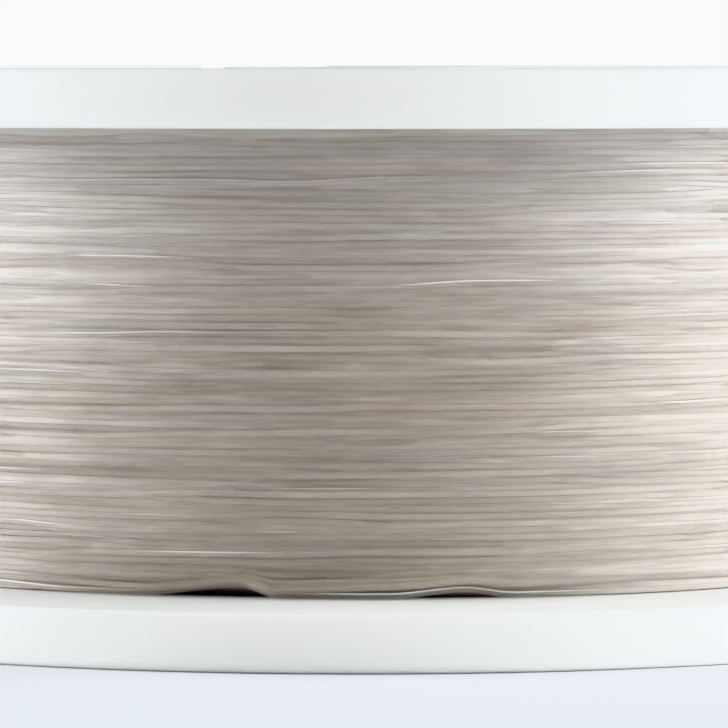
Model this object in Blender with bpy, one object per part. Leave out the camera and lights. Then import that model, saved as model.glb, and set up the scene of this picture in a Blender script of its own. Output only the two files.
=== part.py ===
"""Filler spool of clear fishing line, standing on its lower flange.

Metres, +Z up along the spool's axis. The origin is on that axis, level with the underside of the
lower rim. Azimuths are degrees from +X towards +Y. Two identical flanges snap into a ribbed core, and
three flexible clips at each flange's rim hold the line's free end.
"""

import math

import bmesh
import bpy
from mathutils import Matrix, Vector

MM = 0.001
CLEARANCE = 0.3 * MM

# Driving dimensions
LINE_DIAMETER = 0.33 * MM
WINDING_RADIUS = 30.0 * MM
BARREL_RADIUS = 22.0 * MM
FLANGE_RADIUS = 38.0 * MM
BORE_RADIUS = 5.0 * MM
CHANNEL_HEIGHT = 24.0 * MM
RIM_HEIGHT = 3.0 * MM
PLATE_THICKNESS = 1.6 * MM
WALL = 1.6 * MM

# Levels, from the underside of the lower rim
HEIGHT = CHANNEL_HEIGHT + 2 * RIM_HEIGHT
INNER_FACE = RIM_HEIGHT
OUTER_FACE = RIM_HEIGHT - PLATE_THICKNESS
CORE_LOW = INNER_FACE + CLEARANCE
CORE_HIGH = HEIGHT - CORE_LOW

# Flange details
RIM_WIDTH = 2.6 * MM
EDGE = 0.4 * MM
HUB_RADIUS = BORE_RADIUS + 3.0 * MM
LABEL_RADIUS = 26.0 * MM
LABEL_THICKNESS = 0.3 * MM
LABEL_FENCE_WIDTH = 0.6 * MM

# The spigot ring that centres the core, and its snap hooks
SPIGOT_OUTER = BARREL_RADIUS - WALL - 0.4 * MM
SPIGOT_INNER = SPIGOT_OUTER - 1.4 * MM
SPIGOT_HEIGHT = 2.0 * MM
HOOK_HEIGHT = 5.0 * MM
HOOK_CATCH = (2.9 * MM, 3.4 * MM, 4.4 * MM)
HOOK_REACH = SPIGOT_OUTER + 1.1 * MM
HOOK_HALF_ANGLE = 8.0
HOOK_WINDOW_HALF_WIDTH = HOOK_REACH * math.sin(math.radians(HOOK_HALF_ANGLE)) + 0.4 * MM

# Three clips, three hooks under them, and three webs between
CLIP_AZIMUTHS = (340.0, 100.0, 220.0)
WEB_AZIMUTHS = (40.0, 160.0, 280.0)
TURN_OVER_AZIMUTH = 100.0
WEB_THICKNESS = 1.2 * MM

# A clip is a tongue cut into the flange, joined to it along its root
CLIP_ROOT = 28.0 * MM
CLIP_TIP = 37.5 * MM
CLIP_HALF_WIDTH = 3.2 * MM
CLIP_CORNER = 1.0 * MM
CLIP_THICKNESS = 0.8 * MM
CLIP_RIDGE = 0.4 * MM
SLIT = 0.6 * MM
SLIT_MOUTH = 0.8 * MM
HINGE_RADIUS = CLIP_ROOT - CLEARANCE / 2
HINGE_HEIGHT = INNER_FACE - CLIP_THICKNESS / 2

# The line's inner end, tied through a hole in the barrel
ANCHOR_AZIMUTH = 190.0
ANCHOR_HEIGHT = 11.0 * MM
ANCHOR_HOLE_RADIUS = 0.6 * MM
KNOT_RADIUS = 0.8 * MM

# The line's free end: (radius mm, azimuth, height mm) from the winding, up through the slit beside a
# clip of the upper flange, then along that flange's outer face
FREE_END_ROUTE = (
    (30.47, -52.0, 22.60),
    (30.60, -46.0, 22.72),
    (30.95, -39.5, 23.15),
    (31.55, -33.0, 23.90),
    (32.25, -27.0, 24.85),
    (32.90, -21.2, 25.72),
    (33.20, -16.8, 26.10),
    (33.28, -14.9, 26.28),
    (33.30, -14.1, 26.70),
    (33.31, -13.94, 27.40),
    (33.31, -13.92, 28.10),
    (33.31, -13.88, 28.80),
    (33.34, -12.9, 29.55),
    (33.38, -10.6, 29.66),
    (33.40, -7.3, 29.36),
    (33.25, -3.3, 29.12),
    (32.80, 2.5, 29.07),
    (32.10, 9.5, 29.07),
    (31.50, 16.5, 29.07),
    (31.10, 23.5, 29.07),
    (30.95, 30.0, 29.07),
)
FREE_END_STEP = 0.7 * MM

ROUND_STEPS = 72
HOLE_STEPS = 12


def empty_scene():
    for thing in list(bpy.data.objects):
        bpy.data.objects.remove(thing, do_unlink=True)


def material(name, colour, roughness):
    made = bpy.data.materials.new(name)
    made.use_nodes = True
    shader = made.node_tree.nodes["Principled BSDF"]
    shader.inputs["Base Color"].default_value = (*colour, 1.0)
    shader.inputs["Roughness"].default_value = roughness
    shader.inputs["Metallic"].default_value = 0.0
    return made


def around(azimuth):
    return Matrix.Rotation(math.radians(azimuth), 4, "Z")


def add_object(name, shape, finish=None, place=None):
    """A new object from a bmesh or a mesh. A helper has no finish, and stays out of the result."""
    mesh = shape
    if isinstance(shape, bmesh.types.BMesh):
        mesh = bpy.data.meshes.new(name)
        shape.to_mesh(mesh)
        shape.free()
    made = bpy.data.objects.new(name, mesh)
    bpy.context.scene.collection.objects.link(made)
    if place is not None:
        made.matrix_world = place
    if finish is None:
        made.hide_render = True
        made.display_type = "WIRE"
    elif not mesh.materials:
        mesh.materials.append(finish)
    return made


def turned(name, profile, finish=None):
    """A ring turned about the axis from a closed outline, whose outer side is listed going down."""
    shape = bmesh.new()
    corners = [shape.verts.new((radius, 0, height)) for radius, height in profile]
    for corner, following in zip(corners, corners[1:] + corners[:1]):
        shape.edges.new((corner, following))
    made = add_object(name, shape, finish)
    turning = made.modifiers.new("turn", "SCREW")
    turning.steps = turning.render_steps = ROUND_STEPS
    turning.use_merge_vertices = True
    turning.merge_threshold = 1e-6
    return made


def extruded(outline, low, high):
    """A closed bmesh from (x, y) points, filled between two heights."""
    shape = bmesh.new()
    base = shape.faces.new([shape.verts.new((x, y, low)) for x, y in outline])
    grown = bmesh.ops.extrude_face_region(shape, geom=[base])["geom"]
    moved = [item for item in grown if isinstance(item, bmesh.types.BMVert)]
    bmesh.ops.translate(shape, verts=moved, vec=(0, 0, high - low))
    bmesh.ops.recalc_face_normals(shape, faces=shape.faces)
    return shape


def sector(profile, half_angle, steps=6):
    """A closed bmesh: a (radius, height) outline swept about the axis, equally either side of +X."""
    shape = bmesh.new()
    start = around(-half_angle)
    corners = [shape.verts.new(start @ Vector((radius, 0, height))) for radius, height in profile]
    grown = [shape.faces.new(corners)]
    bmesh.ops.spin(
        shape,
        geom=grown,
        axis=(0, 0, 1),
        cent=(0, 0, 0),
        angle=math.radians(2 * half_angle),
        steps=steps,
    )
    bmesh.ops.recalc_face_normals(shape, faces=shape.faces)
    return shape


def combine(target, helper, operation):
    cut = target.modifiers.new(f"{operation} {helper.name}", "BOOLEAN")
    cut.operation = operation
    cut.object = helper


def realised(source, name):
    """The source's finished mesh, as new mesh data. The source stays behind as a helper."""
    bpy.context.view_layer.update()
    finished = source.evaluated_get(bpy.context.evaluated_depsgraph_get())
    mesh = bpy.data.meshes.new_from_object(finished)
    mesh.name = name
    source.hide_render = True
    source.display_type = "WIRE"
    return mesh


def soften(mesh):
    mesh.shade_smooth()
    mesh.set_sharp_from_angle(angle=math.radians(30))


def turned_over():
    """The placement that turns the lower flange and what it carries into the upper one."""
    azimuth = math.radians(TURN_OVER_AZIMUTH)
    line = Vector((math.cos(azimuth), math.sin(azimuth), 0))
    return Matrix.Translation((0, 0, HEIGHT)) @ Matrix.Rotation(math.pi, 4, line)


def flange_profile():
    rim_inner = FLANGE_RADIUS - RIM_WIDTH
    fence_inner = LABEL_RADIUS + 2 * CLEARANCE
    fence_outer = fence_inner + LABEL_FENCE_WIDTH
    fence_low = OUTER_FACE - EDGE
    spigot_high = INNER_FACE + SPIGOT_HEIGHT
    return (
        (FLANGE_RADIUS - EDGE, INNER_FACE),
        (FLANGE_RADIUS, INNER_FACE - EDGE),
        (FLANGE_RADIUS, EDGE),
        (FLANGE_RADIUS - EDGE, 0),
        (rim_inner + EDGE, 0),
        (rim_inner, EDGE),
        (rim_inner, OUTER_FACE),
        (fence_outer, OUTER_FACE),
        (fence_outer, fence_low),
        (fence_inner, fence_low),
        (fence_inner, OUTER_FACE),
        (HUB_RADIUS, OUTER_FACE),
        (HUB_RADIUS, 0),
        (BORE_RADIUS + EDGE, 0),
        (BORE_RADIUS, EDGE),
        (BORE_RADIUS, INNER_FACE),
        (SPIGOT_INNER, INNER_FACE),
        (SPIGOT_INNER, spigot_high),
        (SPIGOT_OUTER, spigot_high),
        (SPIGOT_OUTER, INNER_FACE),
    )


def hook_profile():
    catch_low, catch_full, catch_high = (INNER_FACE + level for level in HOOK_CATCH)
    return (
        (SPIGOT_INNER, INNER_FACE - EDGE),
        (SPIGOT_OUTER, INNER_FACE - EDGE),
        (SPIGOT_OUTER, catch_low),
        (HOOK_REACH, catch_low),
        (HOOK_REACH, catch_full),
        (SPIGOT_OUTER, catch_high),
        (SPIGOT_OUTER, INNER_FACE + HOOK_HEIGHT),
        (SPIGOT_INNER, INNER_FACE + HOOK_HEIGHT),
    )


def clip_window():
    """The gap that the clip lies in: a slit on each side of it, opening out at the rim."""
    half = CLIP_HALF_WIDTH + SLIT
    mouth = half + SLIT_MOUTH
    root = CLIP_ROOT - CLEARANCE
    throat = FLANGE_RADIUS - RIM_WIDTH
    beyond = FLANGE_RADIUS + EDGE
    outline = (
        (root, -half),
        (throat, -half),
        (beyond, -mouth),
        (beyond, mouth),
        (throat, half),
        (root, half),
    )
    return extruded(outline, -EDGE, INNER_FACE + EDGE)


def flange_mesh():
    blank = turned("flange_blank", flange_profile())
    for azimuth in CLIP_AZIMUTHS:
        place = around(azimuth)
        hook = add_object("hook_helper", sector(hook_profile(), HOOK_HALF_ANGLE), place=place)
        combine(blank, hook, "UNION")
        combine(blank, add_object("window_cutter", clip_window(), place=place), "DIFFERENCE")
    return realised(blank, "flange")


def clip_mesh():
    """A clip about its hinge: +X towards the rim, +Z towards the winding."""
    root = CLIP_ROOT - HINGE_RADIUS
    tip = CLIP_TIP - HINGE_RADIUS
    side = CLIP_HALF_WIDTH
    half = CLIP_THICKNESS / 2
    outline = (
        (root, -side),
        (tip - CLIP_CORNER, -side),
        (tip, CLIP_CORNER - side),
        (tip, side - CLIP_CORNER),
        (tip - CLIP_CORNER, side),
        (root, side),
    )
    tongue = add_object("tongue_blank", extruded(outline, -half, half))
    ridge_half = side - CLIP_CORNER
    ridge = (
        (tip - 3 * CLIP_RIDGE, -ridge_half),
        (tip - CLIP_RIDGE, -ridge_half),
        (tip - CLIP_RIDGE, ridge_half),
        (tip - 3 * CLIP_RIDGE, ridge_half),
    )
    combine(tongue, add_object("ridge_helper", extruded(ridge, -half - CLIP_RIDGE, 0)), "UNION")
    return realised(tongue, "line_clip")


def make_flanges(plastic):
    """Both flanges, each with its three clips, from one moulding and one clip shape."""
    flange, clip = flange_mesh(), clip_mesh()
    soften(flange)
    for level, placement in (("lower", Matrix.Identity(4)), ("upper", turned_over())):
        add_object(f"{level}_flange", flange, plastic, placement)
        for number, azimuth in enumerate(CLIP_AZIMUTHS, start=1):
            hinge = Matrix.Translation((HINGE_RADIUS, 0, HINGE_HEIGHT))
            add_object(f"{level}_line_clip_{number}", clip, plastic, placement @ around(azimuth) @ hinge)


def web_outline():
    """A web's (radius, height) outline, notched at both ends to pass the flanges' spigots."""
    inner, outer = BORE_RADIUS + WALL / 2, BARREL_RADIUS - WALL / 2
    notch = SPIGOT_INNER - CLEARANCE
    notch_low = INNER_FACE + SPIGOT_HEIGHT + CLEARANCE
    notch_high = HEIGHT - notch_low
    return (
        (inner, CORE_LOW),
        (notch, CORE_LOW),
        (notch, notch_low),
        (outer, notch_low),
        (outer, notch_high),
        (notch, notch_high),
        (notch, CORE_HIGH),
        (inner, CORE_HIGH),
    )


def make_core(plastic):
    """The barrel, its bore tube and the webs between them, with windows for the flanges' hooks."""
    core = turned(
        "core",
        (
            (BARREL_RADIUS, CORE_HIGH),
            (BARREL_RADIUS, CORE_LOW),
            (BARREL_RADIUS - WALL, CORE_LOW),
            (BARREL_RADIUS - WALL, CORE_HIGH),
        ),
        plastic,
    )
    tube_radius = BORE_RADIUS + WALL
    tube = turned(
        "bore_tube_helper",
        (
            (tube_radius, CORE_HIGH),
            (tube_radius, CORE_LOW),
            (BORE_RADIUS, CORE_LOW),
            (BORE_RADIUS, CORE_HIGH),
        ),
    )
    upright = Matrix.Rotation(math.pi / 2, 4, "X")
    webs = [
        add_object(
            "web_helper",
            extruded(web_outline(), -WEB_THICKNESS / 2, WEB_THICKNESS / 2),
            place=around(azimuth) @ upright,
        )
        for azimuth in WEB_AZIMUTHS
    ]
    for web_helper in webs:
        combine(core, web_helper, "UNION")
    combine(core, tube, "UNION")
    side = HOOK_WINDOW_HALF_WIDTH
    near, far = BARREL_RADIUS - 2 * WALL, BARREL_RADIUS + WALL
    window = ((near, -side), (far, -side), (far, side), (near, side))
    window_low = INNER_FACE + HOOK_CATCH[0] - CLEARANCE
    window_high = INNER_FACE + HOOK_CATCH[2] + CLEARANCE
    for low, high in ((window_low, window_high), (HEIGHT - window_high, HEIGHT - window_low)):
        for azimuth in CLIP_AZIMUTHS:
            cutter = add_object("hook_window_cutter", extruded(window, low, high), place=around(azimuth))
            combine(core, cutter, "DIFFERENCE")
    combine(core, anchor_drill(), "DIFFERENCE")
    return core


def radial_place(azimuth, radius, height):
    """The placement of a shape whose own +Z is to point outwards from the spool's axis."""
    outwards = Matrix.Rotation(math.pi / 2, 4, "Y")
    return around(azimuth) @ Matrix.Translation((radius, 0, height)) @ outwards


def anchor_drill():
    shape = bmesh.new()
    bmesh.ops.create_cone(
        shape,
        cap_ends=True,
        segments=HOLE_STEPS,
        radius1=ANCHOR_HOLE_RADIUS,
        radius2=ANCHOR_HOLE_RADIUS,
        depth=3 * WALL,
    )
    return add_object(
        "anchor_drill", shape, place=radial_place(ANCHOR_AZIMUTH, BARREL_RADIUS, ANCHOR_HEIGHT)
    )


def make_labels(paper):
    for level, placement in (("lower", Matrix.Identity(4)), ("upper", turned_over())):
        high = OUTER_FACE - CLEARANCE
        low = high - LABEL_THICKNESS
        inner = HUB_RADIUS + 2 * CLEARANCE
        label = turned(
            f"{level}_label",
            ((LABEL_RADIUS, high), (LABEL_RADIUS, low), (inner, low), (inner, high)),
            paper,
        )
        label.matrix_world = placement


def make_winding(nylon):
    """The wound line as one ring, from just clear of the barrel to the full winding's radius."""
    inner = BARREL_RADIUS + 0.7 * MM
    turned(
        "line_winding",
        (
            (WINDING_RADIUS, CORE_HIGH),
            (WINDING_RADIUS, CORE_LOW),
            (inner, CORE_LOW),
            (inner, CORE_HIGH),
        ),
        nylon,
    )


def make_line_start(nylon):
    """The line's inner end: a short stretch through the barrel's hole, with a stopper knot inside."""
    line = LINE_DIAMETER / 2
    outer_end = BARREL_RADIUS + 0.35 * MM
    knot_outer = BARREL_RADIUS - WALL - CLEARANCE
    stations = (
        (outer_end, line),
        (knot_outer, line),
        (knot_outer - 0.3 * KNOT_RADIUS, 0.8 * KNOT_RADIUS),
        (knot_outer - KNOT_RADIUS, KNOT_RADIUS),
        (knot_outer - 1.7 * KNOT_RADIUS, 0.8 * KNOT_RADIUS),
        (knot_outer - 2 * KNOT_RADIUS, line),
        (knot_outer - 4 * KNOT_RADIUS, line),
    )
    shape = bmesh.new()
    rings = []
    for distance, radius in stations:
        ring = bmesh.ops.create_circle(shape, segments=HOLE_STEPS, radius=radius)["verts"]
        bmesh.ops.translate(shape, verts=ring, vec=(0, 0, distance))
        rings.append(ring)
    for ring, following in zip(rings, rings[1:]):
        edges = {edge for vert in ring + following for edge in vert.link_edges}
        sides = [edge for edge in edges if set(edge.verts) <= set(ring) or set(edge.verts) <= set(following)]
        bmesh.ops.bridge_loops(shape, edges=sides)
    bmesh.ops.contextual_create(shape, geom=rings[0])
    bmesh.ops.contextual_create(shape, geom=rings[-1])
    bmesh.ops.recalc_face_normals(shape, faces=shape.faces)
    add_object("line_start", shape, nylon, radial_place(ANCHOR_AZIMUTH, 0, ANCHOR_HEIGHT))


def smooth_route(route, step):
    """Points a step apart on a Catmull-Rom curve through (radius, azimuth, height) stations."""
    stations = [around(azimuth) @ Vector((radius * MM, 0, height * MM)) for radius, azimuth, height in route]
    padded = [2 * stations[0] - stations[1], *stations, 2 * stations[-1] - stations[-2]]
    dense = []
    for before, start, end, after in zip(padded, padded[1:], padded[2:], padded[3:]):
        for tick in range(24):
            t = tick / 24
            dense.append(
                0.5
                * (
                    2 * start
                    + (end - before) * t
                    + (2 * before - 5 * start + 4 * end - after) * t**2
                    + (3 * start - before - 3 * end + after) * t**3
                )
            )
    dense.append(stations[-1])
    spaced, travelled = [dense[0]], 0.0
    for last, point in zip(dense, dense[1:]):
        travelled += (point - last).length
        if travelled >= step:
            spaced.append(point)
            travelled = 0.0
    if (spaced[-1] - dense[-1]).length > step / 2:
        spaced.append(dense[-1])
    else:
        spaced[-1] = dense[-1]
    return spaced


def make_free_end(nylon):
    points = smooth_route(FREE_END_ROUTE, FREE_END_STEP)
    curve = bpy.data.curves.new("line_end", "CURVE")
    curve.dimensions = "3D"
    curve.bevel_depth = LINE_DIAMETER / 2
    curve.bevel_resolution = 2
    curve.use_fill_caps = True
    spline = curve.splines.new("POLY")
    spline.points.add(len(points) - 1)
    for knot, point in zip(spline.points, points):
        knot.co = (*point, 1.0)
    curve.materials.append(nylon)
    made = bpy.data.objects.new("line_end", curve)
    bpy.context.scene.collection.objects.link(made)


def main():
    empty_scene()
    white_plastic = material("white_plastic", (0.86, 0.86, 0.84), 0.25)
    core_plastic = material("core_plastic", (0.80, 0.80, 0.78), 0.35)
    nylon = material("nylon_line", (0.33, 0.29, 0.25), 0.18)
    paper = material("label_paper", (0.70, 0.78, 0.82), 0.45)
    make_flanges(white_plastic)
    make_core(core_plastic)
    make_labels(paper)
    make_winding(nylon)
    make_line_start(nylon)
    make_free_end(nylon)


main()
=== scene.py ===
"""The looks of the fishing line spool: its wound line, flanges, clips, labels and studio.

Lengths are metres, in the CAD's frame: +Z is the spool's axis and -Y is the side that the camera sees.
Azimuths are degrees from +X towards +Y.
"""

import math

import bpy
import numpy as np
from mathutils import Matrix, Vector


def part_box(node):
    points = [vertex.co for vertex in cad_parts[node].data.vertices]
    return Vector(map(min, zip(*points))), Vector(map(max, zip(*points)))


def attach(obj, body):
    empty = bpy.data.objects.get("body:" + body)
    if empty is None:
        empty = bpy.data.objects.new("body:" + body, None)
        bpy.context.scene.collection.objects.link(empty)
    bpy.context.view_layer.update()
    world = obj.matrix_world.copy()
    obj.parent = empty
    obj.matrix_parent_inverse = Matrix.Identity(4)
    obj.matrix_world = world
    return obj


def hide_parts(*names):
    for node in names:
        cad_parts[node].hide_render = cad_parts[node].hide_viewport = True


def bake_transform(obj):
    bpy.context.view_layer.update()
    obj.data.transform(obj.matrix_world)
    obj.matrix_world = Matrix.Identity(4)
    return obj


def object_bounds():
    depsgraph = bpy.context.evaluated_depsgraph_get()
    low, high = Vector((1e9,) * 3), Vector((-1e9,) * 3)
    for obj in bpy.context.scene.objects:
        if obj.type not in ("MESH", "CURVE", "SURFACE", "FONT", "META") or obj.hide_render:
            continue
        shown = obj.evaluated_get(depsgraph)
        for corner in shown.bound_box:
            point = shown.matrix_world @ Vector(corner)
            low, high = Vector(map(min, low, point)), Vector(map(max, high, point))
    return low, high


MM = 0.001
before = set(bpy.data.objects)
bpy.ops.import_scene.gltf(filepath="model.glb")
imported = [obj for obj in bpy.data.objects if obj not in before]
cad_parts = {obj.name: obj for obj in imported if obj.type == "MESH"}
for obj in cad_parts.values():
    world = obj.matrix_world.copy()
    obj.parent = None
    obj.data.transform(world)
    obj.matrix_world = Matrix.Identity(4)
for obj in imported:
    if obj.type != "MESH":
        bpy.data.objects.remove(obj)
cad_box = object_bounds()

# Sizes read from the frame
WINDING_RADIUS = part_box("line_winding")[1].x
HEIGHT = cad_box[1][2]
INNER_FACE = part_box("lower_line_clip_1")[1].z
MIDDLE = Vector((0, 0, HEIGHT / 2))

# The flanges and their clips, as the CAD has them
PLATE = 1.6 * MM
OUTER_FACE = INNER_FACE - PLATE
LABEL_INNER, LABEL_OUTER = 8.6 * MM, 26.0 * MM
LABEL_THICKNESS, LABEL_GAP = 0.14 * MM, 0.01 * MM
CLIP_AZIMUTHS = (340.0, 100.0, 220.0)
TURN_OVER_AZIMUTH = 100.0
CLIP_ROOT, CLIP_TIP = 28.0 * MM, 37.5 * MM
CLIP_HALF_WIDTH = 3.2 * MM
CLIP_THICKNESS = 0.8 * MM
AROUND_FLANGE = 360

# The line and its winding
LINE_DIAMETER = 0.33 * MM
LINE_LIFT = 0.05 * MM
BED_TOP_GAP = 0.01 * MM
AROUND = 240
TURNS_LAID = 426
TURNS_SHOWN = 230
TURNS_PER_PIECE = 46
TRAVERSE_PER_TURN = 1.2 * MM
STRAND_SIDES = 8
# Glossiness of a strand's other sides: low enough to carry no painted highlights
GLOSS_WITHOUT_PAINTED_GLINT = 0.5
LAST_AZIMUTH, LAST_HEIGHT = -49.0, 22.6 * MM
MEAN_DEPTH = 0.13 * MM
BED_DEPTH = 0.12 * MM
BED_ROWS = 476
BED_INNER = 23.0 * MM
END_ROWS = 8
GAP_DEPTH = 3.5 * MM

# The shares of the broad waves taken out, of the strands' relief kept, and of a strand's thickness shown
LEVELLING = 0.97
RELIEF = 0.6
FLATTENING = 0.6

# Where the outermost turns stand clear of the lower flange: first azimuth, highest, last, height
LENS_GAPS = ((-112.5, -102.0, -98.8, 0.50 * MM), (-87.5, -80.0, -75.5, 0.27 * MM))

# The line's free end, as (radius mm, azimuth, height mm), on the CAD's route. It is clear of the winding
# from one azimuth, and comes down onto the flange between two others.
FREE_END_ROUTE = (
    (30.47, LAST_AZIMUTH, 22.60),
    (30.60, -46.0, 22.72),
    (30.95, -39.5, 23.15),
    (31.55, -33.0, 23.90),
    (32.25, -27.0, 24.85),
    (32.90, -21.2, 25.72),
    (33.20, -16.8, 26.10),
    (33.28, -14.9, 26.28),
    (33.30, -14.1, 26.70),
    (33.31, -13.94, 27.40),
    (33.31, -13.92, 28.10),
    (33.31, -13.88, 28.80),
    (33.34, -12.9, 29.55),
    (33.38, -10.6, 29.66),
    (33.40, -7.3, 29.36),
    (33.25, -3.3, 29.12),
    (32.80, 2.5, 29.07),
    (32.10, 9.5, 29.07),
    (31.50, 16.5, 29.07),
    (31.10, 23.5, 29.07),
    (30.95, 30.0, 29.07),
)
FREE_END_STEP = 0.35 * MM
FREE_END_SINK = 0.07
CLEAR_AZIMUTH = -27.0
LANDING_AZIMUTHS = (-13.0, -1.0)

# The knot at the line's inner end, and how far out its straight stem goes
KNOT_RADIUS, KNOT_SIZE = 19.4 * MM, 0.21 * MM
STEM_END_RADIUS = 22.6 * MM


# Meshes


def mesh_of(name, points, quads, caps=()):
    """A smooth-shaded mesh from points, quads and any larger faces, as index arrays."""
    loops = np.concatenate([np.ravel(quads), *caps]).astype(np.int32)
    cap_starts = np.cumsum([len(quads) * 4, *(len(cap) for cap in caps)])[:-1]
    starts = np.concatenate([np.arange(len(quads)) * 4, cap_starts]).astype(np.int32)
    mesh = bpy.data.meshes.new(name)
    mesh.vertices.add(len(points))
    mesh.vertices.foreach_set("co", np.asarray(points, np.float32).ravel())
    mesh.loops.add(len(loops))
    mesh.loops.foreach_set("vertex_index", loops)
    mesh.polygons.add(len(starts))
    mesh.polygons.foreach_set("loop_start", starts)
    mesh.update(calc_edges=True)
    mesh.shade_smooth()
    return mesh


def loft(rings):
    """(points, quads, caps) of a closed skin over equal rings, each counterclockwise seen from the next."""
    count, sides = rings.shape[:2]
    ring = np.arange(count - 1)[:, None] * sides
    here = np.arange(sides)[None, :]
    there = (here + 1) % sides
    quads = np.stack([ring + here, ring + there, ring + sides + there, ring + sides + here], axis=-1)
    caps = [np.arange(sides)[::-1], (count - 1) * sides + np.arange(sides)]
    return rings.reshape(-1, 3), quads.reshape(-1, 4), caps


def joined(name, *shapes):
    """One mesh of several (points, quads, caps)."""
    points, quads, caps, first = [], [], [], 0
    for shape_points, shape_quads, shape_caps in shapes:
        points.append(shape_points)
        quads.append(shape_quads + first)
        caps.extend(cap + first for cap in shape_caps)
        first += len(shape_points)
    return mesh_of(name, np.concatenate(points), np.concatenate(quads), caps)


def revolved(radii, levels):
    """(points, quads, caps) of a ring. Row i of radii is its outline at azimuth i, up its outer side."""
    count, sides = radii.shape
    turn = np.arange(count)[:, None] * math.tau / count
    levels = np.broadcast_to(levels, radii.shape)
    points = np.stack([radii * np.cos(turn), radii * np.sin(turn), levels], axis=-1)
    here = np.arange(count)[:, None] * sides
    there = (np.arange(count)[:, None] + 1) % count * sides
    low = np.arange(sides)[None, :]
    high = (low + 1) % sides
    quads = np.stack([here + low, there + low, there + high, here + high], axis=-1)
    return points.reshape(-1, 3), quads.reshape(-1, 4), ()


def rounded(corners, steps=4):
    """A closed outline from (x, y, rounding), each corner a smooth arc of this many steps."""
    points = np.array([corner[:2] for corner in corners], float)
    outline = []
    for i, corner in enumerate(corners):
        before, here, after = points[i - 1], points[i], points[(i + 1) % len(corners)]
        back, on = before - here, after - here
        reach = min(corner[2], 0.45 * np.linalg.norm(back), 0.45 * np.linalg.norm(on))
        if reach == 0:
            outline.append(here)
            continue
        start = here + back / np.linalg.norm(back) * reach
        end = here + on / np.linalg.norm(on) * reach
        for t in np.linspace(0, 1, steps + 1):
            outline.append((1 - t) ** 2 * start + 2 * t * (1 - t) * here + t**2 * end)
    return np.array(outline)


def lathed(corners, segments):
    outline = rounded(corners) * MM
    return revolved(np.tile(outline[:, 0], (segments, 1)), outline[:, 1])


def prism(corners, low, high):
    """A plate between two heights whose upright outline is rounded. All in mm."""
    outline = rounded(corners, 6)
    return loft(np.array([np.column_stack([outline, np.full(len(outline), z)]) for z in (low, high)]) * MM)


def slab(corners, low, high, edge, steps=3):
    """A plate between two heights, its upright outline and its upper and lower edges rounded. All in mm."""
    outline = rounded(corners, 6)
    along = np.roll(outline, -1, axis=0) - np.roll(outline, 1, axis=0)
    along /= np.linalg.norm(along, axis=1)[:, None]
    inward = np.stack([-along[:, 1], along[:, 0]], axis=1)
    quarter = np.linspace(0, math.pi / 2, steps + 1)
    insets = edge * (1 - np.sin(quarter))
    lifts = edge * (1 - np.cos(quarter))
    sections = [(low + lift, inset) for lift, inset in zip(lifts, insets)]
    sections += [(high - lift, inset) for lift, inset in zip(lifts[::-1], insets[::-1])]
    rings = [np.column_stack([outline + inset * inward, np.full(len(outline), z)]) for z, inset in sections]
    return loft(np.array(rings) * MM)


def tube(centres, across, up, radius, sides):
    """A tube through the centres. Its rings lie in the plane of two unit vectors at each centre."""
    turn = np.arange(sides) * math.tau / sides
    rings = centres[:, None] + radius * (
        np.cos(turn)[None, :, None] * across[:, None] + np.sin(turn)[None, :, None] * up[:, None]
    )
    return loft(rings)


def curve_tube(centres, radius, sides):
    """A tube along a free curve, its rings carried along it without twisting."""
    tangents = np.gradient(centres, axis=0)
    tangents /= np.linalg.norm(tangents, axis=1)[:, None]
    across = np.cross(tangents[0], (0, 0, 1))
    sideways = []
    for tangent in tangents:
        across = across - tangent * (across @ tangent)
        across = across / np.linalg.norm(across)
        sideways.append(across)
    sideways = np.array(sideways)
    return tube(centres, sideways, np.cross(tangents, sideways), radius, sides)


def smoothed_route(corners, step):
    """Points a step apart on a Catmull-Rom curve through the corners."""
    padded = np.vstack([2 * corners[0] - corners[1], corners, 2 * corners[-1] - corners[-2]])
    fine = []
    for a, b, c, d in zip(padded, padded[1:], padded[2:], padded[3:]):
        for t in np.arange(16) / 16:
            square, cube = 2 * a - 5 * b + 4 * c - d, 3 * b - a - 3 * c + d
            fine.append(0.5 * (2 * b + (c - a) * t + square * t**2 + cube * t**3))
    fine = np.array([*fine, corners[-1]])
    run = np.concatenate([[0], np.cumsum(np.linalg.norm(np.diff(fine, axis=0), axis=1))])
    stations = np.linspace(0, run[-1], int(round(run[-1] / step)) + 1)
    return np.stack([np.interp(stations, run, fine[:, axis]) for axis in range(3)], axis=1)


def transformed(mesh, matrix):
    moved = mesh.copy()
    moved.transform(matrix)
    return moved


def turned_over():
    """Turns the lower flange and what it carries into the upper one."""
    azimuth = math.radians(TURN_OVER_AZIMUTH)
    line = Vector((math.cos(azimuth), math.sin(azimuth), 0))
    return Matrix.Translation((0, 0, HEIGHT)) @ Matrix.Rotation(math.pi, 4, line)


def around(azimuth):
    return Matrix.Rotation(math.radians(azimuth), 4, "Z")


LEVELS = (("lower", Matrix.Identity(4)), ("upper", turned_over()))


def add_piece(name, mesh, material, nodes, body="spool"):
    """A new piece that rides on a body, takes a material slot and stands for some CAD nodes."""
    made = bpy.data.objects.new(name, mesh)
    bpy.context.scene.collection.objects.link(made)
    mesh.materials.clear()
    mesh.materials.append(material)
    if body is not None:
        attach(made, body)
    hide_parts(*nodes)
    return made


# Materials


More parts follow.
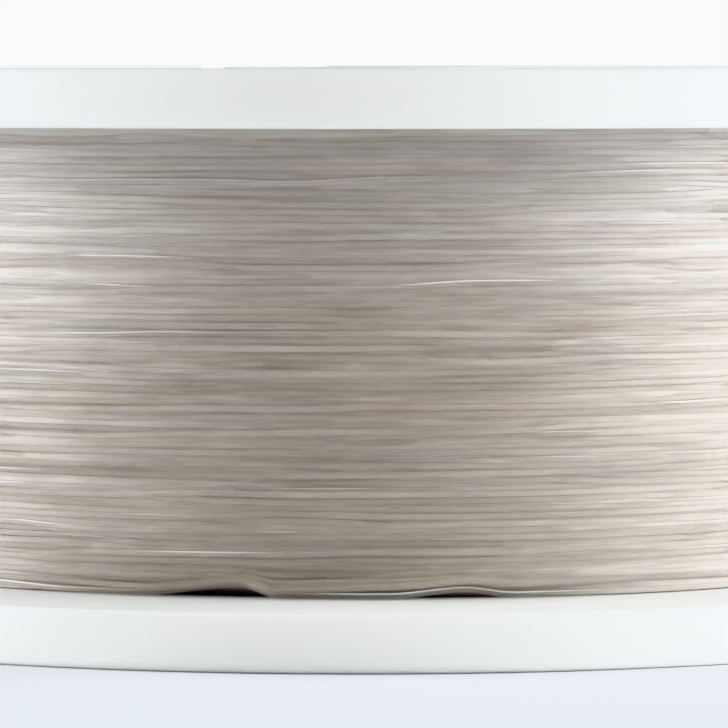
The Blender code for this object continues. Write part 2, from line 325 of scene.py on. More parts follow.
class Nodes:
    """Short ways to build one material's nodes."""

    def __init__(self, name):
        self.material = bpy.data.materials.new(name)
        self.material.use_nodes = True
        self.tree = self.material.node_tree
        self.shader = self.tree.nodes["Principled BSDF"]

    def set(self, **values):
        for name, value in values.items():
            self.shader.inputs[name.replace("_", " ")].default_value = value

    def link(self, source, target):
        if isinstance(source, (int, float)):
            target.default_value = source
        else:
            self.tree.links.new(source, target)

    def feed(self, source, name):
        self.tree.links.new(source, self.shader.inputs[name])

    def new(self, kind, **settings):
        made = self.tree.nodes.new(kind)
        for name, value in settings.items():
            setattr(made, name, value)
        return made

    def math(self, operation, a, b=0.0):
        made = self.new("ShaderNodeMath", operation=operation)
        self.link(a, made.inputs[0])
        self.link(b, made.inputs[1])
        return made.outputs[0]

    def ramp(self, factor, *stops):
        """A colour ramp through (position, colour) stops."""
        made = self.new("ShaderNodeValToRGB")
        elements = made.color_ramp.elements
        while len(elements) < len(stops):
            elements.new(0.5)
        for element, (position, colour) in zip(elements, stops):
            element.position = position
            element.color = (*colour, 1) if isinstance(colour, tuple) else (colour, colour, colour, 1)
        self.link(factor, made.inputs[0])
        return made.outputs["Color"]

    def mixed(self, factor, a, b, blend="MIX"):
        made = self.new("ShaderNodeMix", data_type="RGBA", blend_type=blend)
        self.link(factor, made.inputs["Factor"])
        for source, target in ((a, made.inputs["A"]), (b, made.inputs["B"])):
            if isinstance(source, tuple):
                target.default_value = (*source, 1)
            else:
                self.tree.links.new(source, target)
        return made.outputs["Result"]

    def place(self, scale=(1, 1, 1)):
        """Object coordinates in millimetres, then scaled along each axis."""
        mapping = self.new("ShaderNodeMapping")
        mapping.inputs["Scale"].default_value = Vector(scale) / MM
        self.tree.links.new(self.new("ShaderNodeTexCoord").outputs["Object"], mapping.inputs["Vector"])
        return mapping.outputs["Vector"]

    def split(self, vector):
        made = self.new("ShaderNodeSeparateXYZ")
        self.link(vector, made.inputs[0])
        return made.outputs[0], made.outputs[1], made.outputs[2]

    def radius(self):
        """The distance from the spool's axis in millimetres."""
        x, y, _ = self.split(self.place())
        squares = self.math("ADD", self.math("MULTIPLY", x, x), self.math("MULTIPLY", y, y))
        return self.math("SQRT", squares)

    def noise(self, place, scale=1.0, detail=2.0):
        made = self.new("ShaderNodeTexNoise")
        made.inputs["Scale"].default_value = scale
        made.inputs["Detail"].default_value = detail
        self.tree.links.new(place, made.inputs["Vector"])
        return made.outputs["Fac"]

    def bump(self, height, strength, depth):
        made = self.new("ShaderNodeBump")
        made.inputs["Strength"].default_value = strength
        made.inputs["Distance"].default_value = depth
        self.link(height, made.inputs["Height"])
        self.feed(made.outputs["Normal"], "Normal")


# Painted light: the pale grey that the line and its bed are painted towards near the upper flange
PAINTED_LIGHT_COLOUR = (0.60, 0.58, 0.56)
# Painted highlights: the near-white that the glossiest strands are painted towards
PAINTED_GLINT_COLOUR = (0.88, 0.89, 0.90)
# Painted shade: the near-black of the bed's low crevices
PAINTED_CREVICE_SHADE = (0.05, 0.047, 0.065)
WINDING_GREY = (0.475, 0.425, 0.37)

# In mm: the painted crevice shade is black at this radius and stays under this height, and the free end
# clears from this y
CREVICE_FLOOR, CREVICE_TOP = 28.7, 4.0
GREY_UNTIL_Y = -22.7


def painted_flange_light(nodes):
    """How much paler the line is painted near the upper flange: painted light, for light that the flange
    lets through to it.
    """
    height = nodes.math("DIVIDE", nodes.split(nodes.place())[2], HEIGHT / MM)
    return nodes.ramp(height, (0.55, 0.0), (0.92, 0.33))


def strand_material():
    """Clear line over the winding: each strand lets much of the bed show through it. The attribute "lay"
    holds its shade, its tint and its glossiness. Where the glossiness is high, near-white is painted into
    its colour as painted highlights; near the upper flange it is painted paler, as painted light."""
    nodes = Nodes("nylon_strand")
    lay = nodes.new("ShaderNodeAttribute", attribute_name="lay")
    shade, tint, gloss_and_painted_glint = nodes.split(lay.outputs["Vector"])
    shade = nodes.ramp(
        shade,
        (0.0, (0.39, 0.336, 0.281)),
        (0.5, (0.51, 0.447, 0.38)),
        (1.0, (0.67, 0.607, 0.533)),
    )
    tint = nodes.ramp(
        tint,
        (0.0, (0.96, 1.0, 0.90)),
        (0.35, (1.0, 1.0, 1.0)),
        (0.6, (1.0, 0.985, 0.98)),
        (0.8, (1.0, 0.91, 0.84)),
        (1.0, (0.95, 0.93, 1.0)),
    )
    # Painted highlights: where a strand is glossiest, its colour is painted near-white and it turns more
    # opaque
    painted_glint = nodes.ramp(gloss_and_painted_glint, (0.62, 0.0), (1.0, 0.7))
    # Painted light: the strand's colour is painted paler towards the upper flange
    shade = nodes.mixed(painted_flange_light(nodes), nodes.mixed(1.0, shade, tint, "MULTIPLY"), PAINTED_LIGHT_COLOUR)
    nodes.feed(nodes.mixed(painted_glint, shade, PAINTED_GLINT_COLOUR), "Base Color")
    nodes.feed(nodes.ramp(gloss_and_painted_glint, (0.0, 0.6), (0.7, 0.5), (1.0, 0.2)), "Roughness")
    nodes.feed(nodes.ramp(painted_glint, (0.0, 0.25), (0.7, 0.85)), "Alpha")
    nodes.set(Specular_IOR_Level=0.2)
    return nodes.material


def bed_material():
    """The deeper turns, which blur into a warm grey with long streaks. They are painted dark in the low
    crevices, a painted shade, and painted paler near the upper flange, a painted light.
    """
    nodes = Nodes("nylon_bed")
    streaks = nodes.noise(nodes.place((0.35, 0.35, 4.0)), detail=3.0)
    # Painted shade: the bed is painted near-black where it lies deep and low on the spool
    shown = nodes.ramp(nodes.math("SUBTRACT", nodes.radius(), CREVICE_FLOOR), (0.1, 0.0), (0.7, 1.0))
    above = nodes.math("GREATER_THAN", nodes.split(nodes.place())[2], CREVICE_TOP)
    lit = nodes.ramp(
        streaks,
        (0.3, (0.302, 0.256, 0.211)),
        (0.5, (0.36, 0.31, 0.26)),
        (0.7, (0.418, 0.37, 0.317)),
    )
    hues = nodes.noise(nodes.place((0.27, 0.27, 3.1)), detail=2.0)
    tint = nodes.ramp(
        hues,
        (0.3, (0.97, 1.0, 0.93)),
        (0.45, (1.0, 1.0, 1.0)),
        (0.58, (1.0, 0.94, 0.90)),
        (0.7, (0.95, 0.94, 1.0)),
    )
    # Painted light: the bed's colour is painted paler towards the upper flange
    lit = nodes.mixed(painted_flange_light(nodes), nodes.mixed(1.0, lit, tint, "MULTIPLY"), PAINTED_LIGHT_COLOUR)
    # Painted shade: the crevice colour where the bed is deep and low
    nodes.feed(nodes.mixed(nodes.math("MAXIMUM", shown, above), PAINTED_CREVICE_SHADE, lit), "Base Color")
    nodes.set(Roughness=0.6, Specular_IOR_Level=0.6)
    return nodes.material


def single_line_material():
    """A lone strand. It starts as grey as the winding and clears over its first millimetre towards +Y."""
    nodes = Nodes("nylon_single")
    cloud = nodes.noise(nodes.place((0.5, 0.5, 0.5)))
    clear = nodes.ramp(cloud, (0.35, (0.58, 0.58, 0.55)), (0.65, (0.72, 0.73, 0.72)))
    past_start = nodes.math("SUBTRACT", nodes.split(nodes.place())[1], GREY_UNTIL_Y)
    free = nodes.ramp(past_start, (0.0, 0.0), (1.0, 1.0))
    nodes.feed(nodes.mixed(free, WINDING_GREY, clear), "Base Color")
    nodes.feed(nodes.ramp(free, (0.0, 0.5), (1.0, 0.16)), "Roughness")
    nodes.feed(nodes.ramp(free, (0.0, 0.3), (1.0, 0.7)), "Alpha")
    nodes.set(IOR=1.53)
    return nodes.material


def plastic_material(name, low, high, roughness):
    """Natural white polypropylene: light sinks a little way into it, and its tone drifts faintly."""
    nodes = Nodes(name)
    clouds = nodes.noise(nodes.place(), 0.08, 0.0)
    nodes.feed(nodes.mixed(clouds, low, high), "Base Color")
    nodes.set(Roughness=roughness, Subsurface_Weight=0.3)
    nodes.set(Subsurface_Radius=(1.0, 1.0, 0.95), Subsurface_Scale=1.6 * MM)
    return nodes.material


NAVY, BLUE, SKY = (0.05, 0.20, 0.36), (0.16, 0.42, 0.58), (0.42, 0.66, 0.76)
FISH_BLUE, PAPER, DULL_PAPER = (0.10, 0.34, 0.50), (0.86, 0.90, 0.91), (0.80, 0.85, 0.87)

# The print, in mm. Each wavy disc is its waves, mean radius, height of wave and colour.
WAVY_DISCS = ((9, 15.6, 0.55, SKY), (12, 13.6, 0.5, BLUE), (15, 11.6, 0.45, NAVY))
SCALE_RADIUS, SCALE_MARKS = 23.2, 60
THIN_BAND = (22.3, 22.6)
FISH_COUNT, FISH_RADIUS = 6, 19.4


def label_material():
    """A printed, laminated paper ring: bands, a scale, waves and small fish, with no lettering."""
    nodes = Nodes("label_print")
    radius = nodes.radius()
    x, y, _ = nodes.split(nodes.place())
    angle = nodes.math("ARCTAN2", y, x)

    def between(value, low, high):
        above, below = nodes.math("GREATER_THAN", value, low), nodes.math("LESS_THAN", value, high)
        return nodes.math("MULTIPLY", above, below)

    def repeated(count):
        """-0.5 to 0.5 across each of this many equal sectors."""
        turns = nodes.math("MULTIPLY", angle, count / math.tau)
        return nodes.math("SUBTRACT", nodes.math("FRACT", turns), 0.5)

    def marks(count, share, low, high):
        """Radial marks between two radii, each reaching this share of a sector to either side."""
        narrow = nodes.math("LESS_THAN", nodes.math("ABSOLUTE", repeated(count)), share)
        return nodes.math("MULTIPLY", narrow, between(radius, low, high))

    def ellipse(across, along, half_width, half_height):
        """1 inside an ellipse of these half-sizes."""
        scaled = [nodes.math("DIVIDE", across, half_width), nodes.math("DIVIDE", along, half_height)]
        squares = [nodes.math("MULTIPLY", value, value) for value in scaled]
        return nodes.math("LESS_THAN", nodes.math("ADD", *squares), 1.0)

    colour = nodes.ramp(nodes.noise(nodes.place(), 0.7, 3.0), (0.3, DULL_PAPER), (0.7, PAPER))
    for count, middle, height, ink in WAVY_DISCS:
        sine = nodes.math("SINE", nodes.math("MULTIPLY", angle, float(count)))
        edge = nodes.math("ADD", nodes.math("MULTIPLY", sine, height), middle)
        colour = nodes.mixed(nodes.math("LESS_THAN", radius, edge), colour, ink)
    colour = nodes.mixed(nodes.math("GREATER_THAN", radius, SCALE_RADIUS), colour, NAVY)
    short, long = marks(SCALE_MARKS, 0.07, 23.9, 24.9), marks(SCALE_MARKS // 5, 0.022, 23.6, 25.3)
    colour = nodes.mixed(nodes.math("MAXIMUM", short, long), colour, PAPER)
    colour = nodes.mixed(between(radius, *THIN_BAND), colour, BLUE)
    across = nodes.math("MULTIPLY", repeated(FISH_COUNT), math.tau / FISH_COUNT * FISH_RADIUS)
    rise = nodes.math("SUBTRACT", radius, FISH_RADIUS)
    body = ellipse(across, rise, 3.0, 1.15)
    behind = nodes.math("SUBTRACT", across, 2.3)
    spread = nodes.math("LESS_THAN", nodes.math("ABSOLUTE", rise), nodes.math("MULTIPLY", behind, 0.75))
    tail = nodes.math("MULTIPLY", between(behind, 0.0, 1.7), spread)
    eye = ellipse(nodes.math("ADD", across, 1.9), nodes.math("SUBTRACT", rise, 0.25), 0.28, 0.28)
    colour = nodes.mixed(nodes.math("MAXIMUM", body, tail), colour, FISH_BLUE)
    nodes.feed(nodes.mixed(eye, colour, PAPER), "Base Color")
    fibre = nodes.noise(nodes.place((1.5, 1.5, 1.5)), 1.0, 4.0)
    nodes.feed(nodes.ramp(fibre, (0.3, 0.3), (0.7, 0.42)), "Roughness")
    nodes.bump(fibre, 0.1, 0.02 * MM)
    nodes.set(Coat_Weight=0.1, Coat_Roughness=0.2)
    return nodes.material


# The winding


def smooth_noise(random, count, length):
    """Noise of unit size that changes over this many samples."""
    knots = random.standard_normal(count // length + 4)
    at = np.arange(count) / length
    whole = at.astype(int)
    share = at - whole
    weight = share * share * (3 - 2 * share)
    return knots[whole] * (1 - weight) + knots[whole + 1] * weight


def wind_line(seed=4):
    """Lays the line turn by turn, each sliding into the grooves of those below it and bridging dips under
    tension. Returns each sample's place around, radius and height."""
    random = np.random.default_rng(seed)
    line = LINE_DIAMETER / MM
    low = (INNER_FACE + LINE_LIFT) / MM + line / 2
    high = HEIGHT / MM - low
    radius = WINDING_RADIUS / MM
    cell = 0.01
    cells = int(round((high - low) / cell)) + 1
    depth = 2.0
    ceiling = np.full((AROUND, cells), radius - line / 2 - depth)
    step = math.tau * radius / AROUND
    look = 16
    total = TURNS_LAID * AROUND
    sample = np.arange(total + look + 1)
    span = high - low
    period = 2 * span / (TRAVERSE_PER_TURN / MM)
    # A guide sweeps up and down along the spool, and the line wanders a little about it.
    phase = (sample - (total - 1)) / AROUND / period + (LAST_HEIGHT / MM - low) / span / 2
    guide = low + span * (1 - np.abs(2 * (phase % 1.0) - 1))
    wander = 0.04 * smooth_noise(random, len(sample), 60)
    wander += 0.24 * smooth_noise(random, len(sample), 2 * AROUND)
    guide = np.clip(guide + wander * np.clip((total - sample) / 60, 0, 1), low, high)
    places = (sample + round(LAST_AZIMUTH / 360 * AROUND) - (total - 1)) % AROUND
    heights = np.empty(len(sample))
    radii = np.empty(len(sample))
    reach = int(round(line / cell))
    across = np.arange(-reach, reach + 1)
    bump = np.sqrt(np.maximum(line**2 - (cell * across) ** 2, 0))
    window = 8
    offsets = np.arange(-window, window + 1)
    sag = (offsets * step) ** 2 / (2 * radius)
    ease = 0.3 * step**2
    for turn in range(TURNS_LAID):
        first = turn * AROUND
        count = AROUND + look
        at = places[first : first + count]
        height = guide[first : first + count].copy()
        before = height[:1]
        if turn:
            off = heights[first - 1] - guide[first - 1]
            height += off * np.exp(-np.arange(count) / 20)
            before = heights[first - 1 : first]
        # The line slides down the slopes under it until its own bending and tension hold it.
        for _ in range(60):
            place = np.clip((height - low) / cell, 4, cells - 5).astype(int)
            slope = (ceiling[at, place + 4] - ceiling[at, place - 4]) / (8 * cell)
            slope = np.sign(slope) * np.clip(np.abs(slope) - 0.5, 0, 1.0)
            path = np.concatenate([before, height, [2 * height[-1] - height[-2]]])
            bend = (path[:-2] - 2 * path[1:-1] + path[2:]) / step**2
            height = np.clip(height + ease * (bend - 1.6 * slope / radius), low, high)
        # It rests on the turns below, and bridges the dips between their high points.
        place = np.clip(np.round((height - low) / cell), 0, cells - 1).astype(int)
        lying = ceiling[at, place]
        earlier = radii[first - 2 * window : first] if turn else np.full(2 * window, lying[0])
        path = np.concatenate([earlier, lying, np.full(window, lying[-1])])
        hull = np.max([np.roll(path, o) - s for o, s in zip(offsets, sag)], axis=0)
        hull = np.min([np.roll(hull, o) + s for o, s in zip(offsets, sag)], axis=0)
        lying = hull[2 * window : 2 * window + count]
        heights[first : first + count] = height
        radii[first : first + count] = lying
        rows = at[:AROUND, None]
        columns = np.clip(place[:AROUND, None] + across, 0, cells - 1)
        ceiling[rows, columns] = np.maximum(ceiling[rows, columns], lying[:AROUND, None] + bump)
    radii -= np.percentile(radii[total - 40 * AROUND : total], 97) - (radius - line / 2)
    shown = slice((TURNS_LAID - TURNS_SHOWN) * AROUND, total)
    return places[shown], radii[shown] * MM, heights[shown] * MM


def azimuths_of(places):
    """The azimuths of places around the winding, from -180 to 180."""
    azimuths = places * 360 / AROUND
    return np.where(azimuths > 180, azimuths - 360, azimuths)


def lift_over_gaps(places, heights):
    """Raises the lowest turns where they stand clear of the lower flange."""
    bottom = INNER_FACE + LINE_LIFT + LINE_DIAMETER / 2
    fade = np.exp(-(((heights - bottom) / (1.1 * MM)) ** 2))
    azimuths = azimuths_of(places)
    for first, highest, last, height in LENS_GAPS:
        share = np.interp(azimuths, (first, highest, last), (0, 1, 0))
        heights = heights + height * fade * share * share * (3 - 2 * share)
    return heights


def surface_of(places, radii, heights):
    """The wound line's outer surface, as the radius at each place around and at evenly spaced heights."""
    levels = np.linspace(INNER_FACE + LINE_LIFT, HEIGHT - INNER_FACE - LINE_LIFT, BED_ROWS)
    spacing = levels[1] - levels[0]
    surface = np.full((AROUND, BED_ROWS), WINDING_RADIUS - GAP_DEPTH)
    reach = int(LINE_DIAMETER / 2 / spacing) + 1
    nearest = np.round((heights - levels[0]) / spacing).astype(int)
    for shift in range(-reach, reach + 1):
        row = nearest + shift
        off = levels[np.clip(row, 0, BED_ROWS - 1)] - heights
        use = (row >= 0) & (row < BED_ROWS) & (np.abs(off) < LINE_DIAMETER / 2)
        crest = radii[use] + np.sqrt((LINE_DIAMETER / 2) ** 2 - off[use] ** 2)
        np.maximum.at(surface, (places[use], row[use]), crest)
    return levels, surface


def closed_at_ends(surface):
    """Fills the surface's lowest and highest rows from those beside them, except in the lens gaps."""
    azimuths = azimuths_of(np.arange(AROUND))
    whole = np.ones(AROUND, bool)
    for first, _, last, _ in LENS_GAPS:
        whole &= (azimuths < first) | (azimuths > last)
    surface = surface.copy()
    surface[whole, :END_ROWS] = surface[whole, END_ROWS : 2 * END_ROWS].max(axis=1)[:, None]
    surface[:, -END_ROWS:] = surface[:, -2 * END_ROWS : -END_ROWS].max(axis=1)[:, None]
    return surface


def blurred(surface, around_width, up_width):
    """The surface smoothed by a Gaussian this many cells wide each way."""
    for axis, width, mode in ((0, around_width, "wrap"), (1, up_width, "edge")):
        reach = int(3 * width) + 1
        weights = np.exp(-0.5 * (np.arange(-reach, reach + 1) / width) ** 2)
        weights /= weights.sum()
        padding = [(reach, reach) if a == axis else (0, 0) for a in (0, 1)]
        padded = np.pad(surface, padding, mode=mode)
        count = surface.shape[axis]
        surface = sum(w * np.take(padded, np.arange(count) + i, axis=axis) for i, w in enumerate(weights))
    return surface


def levelled(places, radii, heights):
    """Takes most of the broad waves out of the winding, moving all the turns at one spot together."""
    levels, surface = surface_of(places, radii, heights)
    broad = blurred(surface, 5, 9)
    row = np.clip(np.round((heights - levels[0]) / (levels[1] - levels[0])).astype(int), 0, BED_ROWS - 1)
    even = WINDING_RADIUS - MEAN_DEPTH
    radii = radii + LEVELLING * (even - broad[places, row])
    return even + (radii - even) * RELIEF


def make_winding():
    """The outer turns as strands, over a bed that stands for the deeper ones. Only one side of each strand
    takes the painted highlights, so that they are thinner than the line. Returns where the line ends."""
    places, radii, heights = wind_line()
    heights = lift_over_gaps(places, heights)
    radii = levelled(places, radii, heights)
    azimuth = places * math.tau / AROUND
    outward = np.stack([np.cos(azimuth), np.sin(azimuth), np.zeros_like(azimuth)], axis=1)
    down = np.broadcast_to((0.0, 0.0, -1.0), outward.shape)
    centres = outward * (radii[:, None] + (1 - FLATTENING) * LINE_DIAMETER / 2)
    centres[:, 2] = heights
    outward = outward * FLATTENING
    random = np.random.default_rng(11)
    count = len(centres)
    shade = 0.5 + 0.12 * smooth_noise(random, count, 7) + 0.15 * smooth_noise(random, count, 24)
    tint = 0.5 + 0.28 * smooth_noise(random, count, 12)
    # The third channel sets the roughness and, where it is high, the painted highlights
    gloss_and_painted_glint = 0.35 + 0.3 * smooth_noise(random, count, 9)
    lay = np.clip(np.stack([shade, tint, gloss_and_painted_glint], axis=1), 0, 1)
    material = strand_material()
    length = TURNS_PER_PIECE * AROUND
    for number, start in enumerate(range(0, count - 1, length), start=1):
        part = slice(start, min(start + length + 1, count))
        name = f"wound_line_{number}"
        mesh = joined(name, tube(centres[part], outward[part], down[part], LINE_DIAMETER / 2, STRAND_SIDES))
        # All sides but one are held to a low glossiness, so the painted highlights stay thinner than the
        # line
        values = np.repeat(lay[part], STRAND_SIDES, axis=0).reshape(-1, STRAND_SIDES, 3)
        values[:, :-1, 2] = np.minimum(values[:, :-1, 2], GLOSS_WITHOUT_PAINTED_GLINT)
        attribute = mesh.attributes.new("lay", "FLOAT_VECTOR", "POINT")
        attribute.data.foreach_set("vector", values.astype(np.float32).ravel())
        add_piece(name, mesh, material, ["line_winding"])
    levels, surface = surface_of(places, radii, heights)
    surface = closed_at_ends(surface)
    bed = blurred(surface, 6, 10)[:, ::4] - BED_DEPTH
    levels = levels[::4]
    levels[-1] = HEIGHT - INNER_FACE - BED_TOP_GAP
    bed = np.concatenate([bed, np.full((AROUND, 2), BED_INNER)], axis=1)
    levels = np.concatenate([levels, levels[[-1, 0]]])
    mesh = joined("wound_line_bed", revolved(bed, levels))
    mesh.set_sharp_from_angle(angle=math.radians(60))
    add_piece("wound_line_bed", mesh, bed_material(), ["line_winding"])
    return centres[-1]


def make_line_end(last_centre, material):
    """The free end: off the winding, up through the slit beside a clip, and along the upper flange."""
    route = np.array(FREE_END_ROUTE)
    azimuth = np.radians(route[:, 1])
    start_radius = math.hypot(last_centre[0], last_centre[1]) / MM - FREE_END_SINK
    onto_winding = np.clip((CLEAR_AZIMUTH - route[:, 1]) / (CLEAR_AZIMUTH - LAST_AZIMUTH), 0, 1)
    radius = route[:, 0] + (start_radius - route[0, 0]) * onto_winding**0.8
    height = route[:, 2] + (last_centre[2] / MM - route[0, 2]) * onto_winding
    settled = HEIGHT / MM - OUTER_FACE / MM + LINE_DIAMETER / 2 / MM
    first, last = LANDING_AZIMUTHS
    onto_flange = np.clip((route[:, 1] - first) / (last - first), 0, 1)
    height = height + (settled - route[-1, 2]) * onto_flange
    corners = np.column_stack([radius * np.cos(azimuth), radius * np.sin(azimuth), height]) * MM
    path = smoothed_route(corners, FREE_END_STEP)
    mesh = joined("free_line_end", curve_tube(path, LINE_DIAMETER / 2, 12))
    piece = add_piece("free_line_end", mesh, material, ["line_end"])


def make_line_start(material):
    """The inner end: through the barrel's hole into a small knot that can't pull back through it."""
    low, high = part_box("line_start")
    middle = (low + high) / 2
    outward = Vector((middle.x, middle.y, 0)).normalized()
    sideways = Vector((-outward.y, outward.x, 0))
    knot_middle = outward * KNOT_RADIUS + Vector((0, 0, middle.z))
    turn = np.linspace(0, math.tau, 120, endpoint=False) + 0.5
    wide = (np.sin(turn) + 2 * np.sin(2 * turn)) * KNOT_SIZE
    tall = (np.cos(turn) - 2 * np.cos(2 * turn)) * KNOT_SIZE
    deep = -np.sin(3 * turn) * 1.1 * KNOT_SIZE
    knot = (
        np.array(knot_middle)
        + wide[:, None] * np.array(sideways)
        + tall[:, None] * np.array((0, 0, 1))
        + deep[:, None] * np.array(outward)
    )
    stem_end = np.array(outward * STEM_END_RADIUS + Vector((0, 0, middle.z)))
    share = np.linspace(0, 1, 24)[1:, None]
    stem = knot[-1] + (stem_end - knot[-1]) * share
    path = np.concatenate([knot, stem])
    mesh = joined("line_start_knot", curve_tube(path, LINE_DIAMETER / 2, 12))
    add_piece("line_start_knot", mesh, material, ["line_start"])


# The flanges, clips and labels

# Radii and heights of the flange's section, in mm
EDGE, RIM, SPIGOT, SPIGOT_BORE, HUB, BORE = 38.0, 35.4, 20.0, 18.6, 8.0, 5.0
BEAD_OUTER, BEAD_INNER = 27.2, 26.6
LINE_SIDE, LABEL_SIDE, BEAD_TOP, SPIGOT_END = 3.0, 1.4, 1.0, 5.0
FLANGE_OUTLINE = (
    (RIM, 0.0, 0.4),
    (EDGE, 0.0, 0.5),
    (EDGE, LINE_SIDE, 0.35),
    (SPIGOT, LINE_SIDE, 0.15),
    (SPIGOT, SPIGOT_END, 0.3),
    (SPIGOT_BORE, SPIGOT_END, 0.3),
    (SPIGOT_BORE, LINE_SIDE, 0.15),
    (BORE, LINE_SIDE, 0.3),
    (BORE, 0.0, 0.5),
    (HUB, 0.0, 0.4),
    (HUB, LABEL_SIDE, 0.25),
    (BEAD_INNER, LABEL_SIDE, 0.1),
    (BEAD_INNER, BEAD_TOP, 0.15),
    (BEAD_OUTER, BEAD_TOP, 0.15),
    (BEAD_OUTER, LABEL_SIDE, 0.1),
    (RIM, LABEL_SIDE, 0.4),
)
WINDOW_ROOT, WINDOW_SIDE, MOUTH_SIDE, PAST_EDGE = 27.7, 3.8, 4.6, 38.4
WINDOW_OUTLINE = (
    (WINDOW_ROOT, -WINDOW_SIDE, 0.5),
    (RIM, -WINDOW_SIDE, 0.8),
    (PAST_EDGE, -MOUTH_SIDE, 0.0),
    (PAST_EDGE, MOUTH_SIDE, 0.0),
    (RIM, WINDOW_SIDE, 0.8),
    (WINDOW_ROOT, WINDOW_SIDE, 0.5),
)

# A snap hook's section, in mm: it stands on the spigot and turns outwards at its tip
HOOK_OUTLINE = (
    (18.7, 2.6, 0.0),
    (19.9, 2.6, 0.0),
    (19.9, 5.9, 0.0),
    (21.1, 5.9, 0.1),
    (21.1, 6.4, 0.2),
    (19.9, 7.4, 0.2),
    (19.9, 8.0, 0.3),
    (18.7, 8.0, 0.3),
)
HOOK_HALF_ANGLE = 8.0

# The web at each clip's root, and the part of it that bends, in mm
WEB_START, WEB_END, WEB_SIDE, WEB_LOW, WEB_HIGH = 27.45, 28.25, 2.9, 2.42, 2.8


def hook():
    """A snap hook: its outline swept a little way about the axis."""
    outline = rounded(HOOK_OUTLINE, 3) * MM
    azimuths = np.radians(np.linspace(-HOOK_HALF_ANGLE, HOOK_HALF_ANGLE, 13))[::-1]
    rings = [
        np.column_stack([outline[:, 0] * math.cos(a), outline[:, 0] * math.sin(a), outline[:, 1]])
        for a in azimuths
    ]
    return loft(np.array(rings))


def flange_mesh():
    """The lower flange: turned, then joined to its hooks and cut through for its clips."""
    turned = joined("flange_blank", lathed(FLANGE_OUTLINE, AROUND_FLANGE))
    blank = bpy.data.objects.new("flange_blank", turned)
    helpers = [blank]
    bpy.context.scene.collection.objects.link(blank)
    for azimuth in CLIP_AZIMUTHS:
        for operation, shape in (("UNION", hook()), ("DIFFERENCE", prism(WINDOW_OUTLINE, -0.5, 3.5))):
            helper = bpy.data.objects.new("helper", joined("helper", shape))
            bpy.context.scene.collection.objects.link(helper)
            helper.matrix_world = around(azimuth)
            cut = blank.modifiers.new(operation, "BOOLEAN")
            cut.operation = operation
            cut.object = helper
            helpers.append(helper)
    bpy.context.view_layer.update()
    finished = blank.evaluated_get(bpy.context.evaluated_depsgraph_get())
    mesh = bpy.data.meshes.new_from_object(finished)
    for helper in helpers:
        bpy.data.objects.remove(helper)
    mesh.name = "flange"
    mesh.shade_smooth()
    mesh.set_sharp_from_angle(angle=math.radians(40))
    return mesh


def clip_mesh():
    """A clip in the lower flange at azimuth 0: a tongue, its ridge, and the thin web that it bends on."""
    side, low, high = CLIP_HALF_WIDTH / MM, (INNER_FACE - CLIP_THICKNESS) / MM, INNER_FACE / MM
    root, tip = CLIP_ROOT / MM, CLIP_TIP / MM
    tongue = slab(
        ((root, -side, 0.25), (tip, -side, 1.4), (tip, side, 1.4), (root, side, 0.25)), low, high, 0.14
    )
    ridge = slab(
        ((tip - 1.2, -2.2, 0.35), (tip - 0.4, -2.2, 0.35), (tip - 0.4, 2.2, 0.35), (tip - 1.2, 2.2, 0.35)),
        low - 0.4,
        low + 0.3,
        0.2,
    )
    corners = ((WEB_SIDE, WEB_LOW), (WEB_SIDE, WEB_HIGH), (-WEB_SIDE, WEB_HIGH), (-WEB_SIDE, WEB_LOW))
    section = rounded([(*corner, 0.12) for corner in corners], 3)
    stations = np.linspace(WEB_START, WEB_END, 17)
    web = [np.column_stack([np.full(len(section), x), section]) for x in stations]
    return joined("clip", tongue, ridge, loft(np.array(web) * MM))


def make_flanges(plastic):
    flange, clip = flange_mesh(), clip_mesh()
    clip.set_sharp_from_angle(angle=math.radians(60))
    for level, placement in LEVELS:
        body = transformed(flange, placement)
        add_piece(f"{level}_flange_body", body, plastic, [f"{level}_flange"])
        for number, azimuth in enumerate(CLIP_AZIMUTHS, start=1):
            place = placement @ around(azimuth)
            name = f"{level}_clip_{number}"
            piece = add_piece(
                f"{name}_tongue",
                transformed(clip, place),
                plastic,
                [f"{level}_line_clip_{number}"],
                body=None,
            )
            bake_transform(piece)


def make_labels(material):
    """Both labels, lying on the flanges' outer faces."""
    glued = (OUTER_FACE - LABEL_GAP) / MM
    printed = glued - LABEL_THICKNESS / MM
    inner, outer = LABEL_INNER / MM, LABEL_OUTER / MM
    outline = ((inner, printed, 0.03), (outer, printed, 0.03), (outer, glued, 0.03), (inner, glued, 0.03))
    mesh = joined("label", lathed(outline, 240))
    mesh.set_sharp_from_angle(angle=math.radians(40))
    for level, placement in LEVELS:
        ring = transformed(mesh, placement)
        add_piece(f"{level}_label_ring", ring, material, [f"{level}_label"])


# The studio


def make_camera():
    data = bpy.data.cameras.new("camera")
    data.lens = 292.5
    data.sensor_width = 36
    data.clip_start = 0.01
    data.clip_end = 20
    camera = bpy.data.objects.new("camera", data)
    bpy.context.scene.collection.objects.link(camera)
    target = Vector((0, -WINDING_RADIUS, HEIGHT / 2))
    distance = 0.300
    tilt = math.radians(3.0)
    camera.location = target + distance * Vector((0, -math.cos(tilt), math.sin(tilt)))
    camera.rotation_euler = (target - camera.location).to_track_quat("-Z", "Y").to_euler()
    bpy.context.scene.camera = camera


def softbox(name, azimuth, elevation, distance, width, height, power, colour=(1, 1, 1)):
    data = bpy.data.lights.new(name, "AREA")
    data.shape = "RECTANGLE"
    data.size = width
    data.size_y = height
    data.energy = power
    data.color = colour
    light = bpy.data.objects.new(name, data)
    bpy.context.scene.collection.objects.link(light)
    turn, lift = math.radians(azimuth), math.radians(elevation)
    away = Vector((math.cos(turn) * math.cos(lift), math.sin(turn) * math.cos(lift), math.sin(lift)))
    light.location = MIDDLE + distance * away
    light.rotation_euler = (-away).to_track_quat("-Z", "Y").to_euler()
    light.visible_camera = False


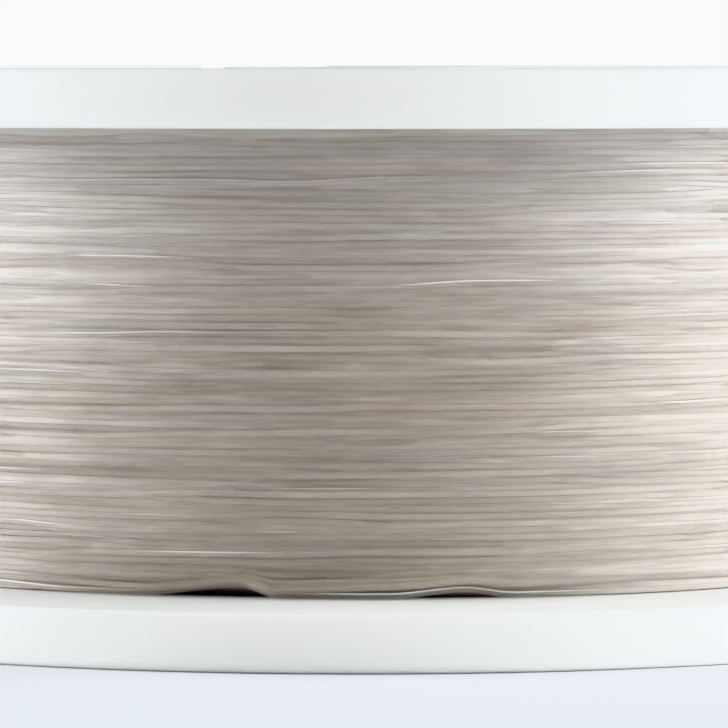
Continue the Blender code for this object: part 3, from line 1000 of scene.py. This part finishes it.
def make_studio():
    world = bpy.data.worlds.new("studio")
    bpy.context.scene.world = world
    world.use_nodes = True
    tree = world.node_tree
    fill = tree.nodes["Background"]
    fill.inputs["Color"].default_value = (0.96, 0.98, 1, 1)
    fill.inputs["Strength"].default_value = 0.05
    backdrop = tree.nodes.new("ShaderNodeBackground")
    backdrop.inputs["Color"].default_value = (1, 1, 1, 1)
    backdrop.inputs["Strength"].default_value = 2.0
    seen = tree.nodes.new("ShaderNodeLightPath")
    mix = tree.nodes.new("ShaderNodeMixShader")
    tree.links.new(seen.outputs["Is Camera Ray"], mix.inputs["Fac"])
    tree.links.new(fill.outputs[0], mix.inputs[1])
    tree.links.new(backdrop.outputs[0], mix.inputs[2])
    tree.links.new(mix.outputs[0], tree.nodes["World Output"].inputs["Surface"])
    softbox("right_softbox", 5, 7, 0.6, 0.8, 0.40, 25, (0.85, 0.925, 1))
    softbox("left_softbox", -183, 7, 0.6, 0.6, 0.40, 15.0, (0.85, 0.925, 1))
    softbox("top_softbox", -90, 80, 0.7, 0.6, 0.6, 0.8)
    softbox("front_strip", -90, 38, 0.7, 0.5, 0.06, 0.15, (1, 0.95, 0.88))
    softbox("low_fill", -90, 3, 0.8, 0.8, 0.05, 0.25, (1, 0.93, 0.84))
    floor = bpy.data.meshes.new("floor")
    floor.from_pydata([(-3, -3, 0), (3, -3, 0), (3, 3, 0), (-3, 3, 0)], [], [(0, 1, 2, 3)])
    ground = bpy.data.objects.new("floor", floor)
    bpy.context.scene.collection.objects.link(ground)
    finish = Nodes("floor")
    finish.feed(finish.ramp(finish.noise(finish.place(), 0.01), (0.3, 0.68), (0.7, 0.70)), "Base Color")
    metres_out = finish.math("MULTIPLY", finish.radius(), MM)
    finish.feed(finish.ramp(metres_out, (0.15, 1.0), (0.42, 0.0)), "Alpha")
    finish.set(Roughness=0.8)
    floor.materials.append(finish.material)


bpy.context.scene.view_settings.view_transform = "Khronos PBR Neutral"
make_camera()
single_line = single_line_material()
make_line_end(make_winding(), single_line)
make_line_start(single_line)
white_plastic = plastic_material("white_polypropylene", (0.775, 0.745, 0.71), (0.795, 0.765, 0.73), 0.26)
core_plastic = plastic_material("core_polypropylene", (0.80, 0.80, 0.76), (0.85, 0.85, 0.82), 0.36)
make_flanges(white_plastic)
make_labels(label_material())
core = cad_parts["core"]
for slot in core.material_slots:
    slot.material = core_plastic
make_studio()
